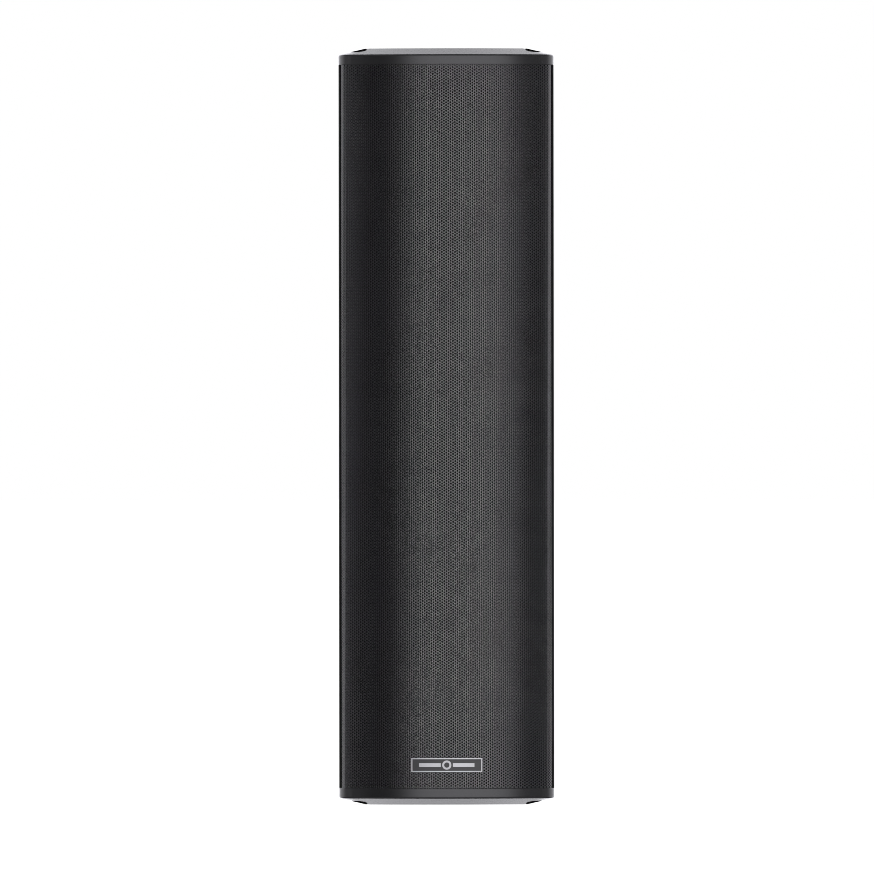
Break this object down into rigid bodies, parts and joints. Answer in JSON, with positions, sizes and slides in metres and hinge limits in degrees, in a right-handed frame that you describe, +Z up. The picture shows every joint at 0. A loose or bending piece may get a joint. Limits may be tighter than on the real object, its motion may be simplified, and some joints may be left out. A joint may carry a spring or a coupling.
{
  "type": "column loudspeaker",
  "caption": "Upright column loudspeaker: D-shaped extruded cabinet, hipped end caps, rolled perforated grille, cone woofers, dome tweeter and a rear terminal cup with a power-tap knob.",
  "frame": {"origin": "middle of the base, on the surface that the bottom cap stands on", "axes": "+Z up along the column, the grille faces -Y, the terminal cup and bracket inserts face +Y, +X is to the right seen from the front"},
  "size_m": [0.2, 0.18, 0.702],
  "materials": {
    "cabinet_coat": "fine-textured black powder coat on extruded aluminium",
    "cap_coat": "smooth satin black coat on cast aluminium",
    "grille_coat": "satin black powder coat on perforated steel",
    "edge_rubber": "matt black extruded rubber",
    "liner_rubber": "dull soft black",
    "seal_rubber": "closed-cell black seal",
    "acoustic_foam": "open-cell black foam",
    "black_screw": "black oxide steel",
    "badge_metal": "brushed silver",
    "baffle_board": "black painted fibreboard",
    "basket_coat": "black painted pressed steel",
    "motor_metal": "ferrite magnet between blackened steel plates",
    "cone_paper": "black pulp cone",
    "coil_copper": "copper winding",
    "surround_rubber": "smooth black rubber half-roll",
    "spider_cloth": "resin-treated cloth",
    "horn_plastic": "moulded black",
    "dome_metal": "spun dome",
    "board_green": "solder-masked glass laminate",
    "capacitor_film": "taped film can",
    "inductor_copper": "enamelled winding",
    "resistor_ceramic": "cement",
    "transformer_iron": "varnished laminations and taped winding",
    "bracket_steel": "zinc plated",
    "standoff_metal": "turned pillars",
    "cup_plastic": "moulded, lightly textured",
    "connector_green": "moulded header",
    "switch_body": "moulded housing",
    "shaft_steel": "turned",
    "knob_plastic": "moulded, fluted",
    "tinned_pin": "tin plated square pins",
    "white_plastic": "moulded pointer line and scale marks",
    "insert_steel": "zinc plated",
    "wire_insulation": "coloured insulation"
  },
  "bodies": {
    "cabinet": {"badge": "badge_metal", "board_standoffs": "standoff_metal", "bottom_cap": "cap_coat", "cabinet_extrusion": "cabinet_coat", "cap_gaskets": "seal_rubber", "cap_screw_liners": "liner_rubber", "cap_screws": "black_screw", "crossover_board": "board_green", "crossover_capacitors": "capacitor_film", "crossover_inductors": "inductor_copper", "crossover_resistors": "resistor_ceramic", "front_baffle": "baffle_board", "front_grille": "grille_coat", "grille_foam": "acoustic_foam", "input_connector": "connector_green", "input_connector_pins": "tinned_pin", "left_edge_strip": "edge_rubber", "line_transformer": "transformer_iron", "panel_screws": "black_screw", "rear_inserts": "insert_steel", "right_edge_strip": "edge_rubber", "tap_selector_scale": "white_plastic", "tap_selector_switch": "switch_body", "terminal_cup": "cup_plastic", "terminal_cup_gasket": "seal_rubber", "top_cap": "cap_coat", "transformer_bracket": "bracket_steel", "tweeter_motor": "motor_metal", "tweeter_surround": "surround_rubber", "tweeter_waveguide": "horn_plastic", "wiring_harness": "wire_insulation", "woofer_1_basket": "basket_coat", "woofer_1_motor": "motor_metal", "woofer_1_spider": "spider_cloth", "woofer_1_surround": "surround_rubber", "woofer_2_basket": "basket_coat", "woofer_2_motor": "motor_metal", "woofer_2_spider": "spider_cloth", "woofer_2_surround": "surround_rubber", "woofer_3_basket": "basket_coat", "woofer_3_motor": "motor_metal", "woofer_3_spider": "spider_cloth", "woofer_3_surround": "surround_rubber", "woofer_4_basket": "basket_coat", "woofer_4_motor": "motor_metal", "woofer_4_spider": "spider_cloth", "woofer_4_surround": "surround_rubber", "woofer_gaskets": "seal_rubber"},
    "woofer_1_moving": {"woofer_1_cone": "cone_paper", "woofer_1_voice_coil": "coil_copper"},
    "woofer_2_moving": {"woofer_2_cone": "cone_paper", "woofer_2_voice_coil": "coil_copper"},
    "woofer_3_moving": {"woofer_3_cone": "cone_paper", "woofer_3_voice_coil": "coil_copper"},
    "woofer_4_moving": {"woofer_4_cone": "cone_paper", "woofer_4_voice_coil": "coil_copper"},
    "tweeter_moving": {"tweeter_diaphragm": "dome_metal"},
    "tap_selector": {"tap_selector_knob": "knob_plastic", "tap_selector_shaft": "shaft_steel", "tap_selector_pointer": "white_plastic"}
  },
  "joints": [
    {"name": "woofer_1_stroke", "type": "slide", "parent": "cabinet", "child": "woofer_1_moving", "axis": [0, -1, 0], "range_m": [-0.003, 0.003], "stiffness_N_per_m": 1500, "deforming": ["woofer_1_surround", "woofer_1_spider"]},
    {"name": "woofer_2_stroke", "type": "slide", "parent": "cabinet", "child": "woofer_2_moving", "axis": [0, -1, 0], "range_m": [-0.003, 0.003], "stiffness_N_per_m": 1500, "deforming": ["woofer_2_surround", "woofer_2_spider"]},
    {"name": "woofer_3_stroke", "type": "slide", "parent": "cabinet", "child": "woofer_3_moving", "axis": [0, -1, 0], "range_m": [-0.003, 0.003], "stiffness_N_per_m": 1500, "deforming": ["woofer_3_surround", "woofer_3_spider"]},
    {"name": "woofer_4_stroke", "type": "slide", "parent": "cabinet", "child": "woofer_4_moving", "axis": [0, -1, 0], "range_m": [-0.003, 0.003], "stiffness_N_per_m": 1500, "deforming": ["woofer_4_surround", "woofer_4_spider"]},
    {"name": "tweeter_stroke", "type": "slide", "parent": "cabinet", "child": "tweeter_moving", "axis": [0, -1, 0], "range_m": [-0.0003, 0.0003], "stiffness_N_per_m": 60, "deforming": ["tweeter_surround"]},
    {"name": "tap_selector_turn", "type": "hinge", "parent": "cabinet", "child": "tap_selector", "pos_m": [0.02, 0.07, 0.25], "axis": [0, 1, 0], "range_deg": [-60, 60]}
  ]
}
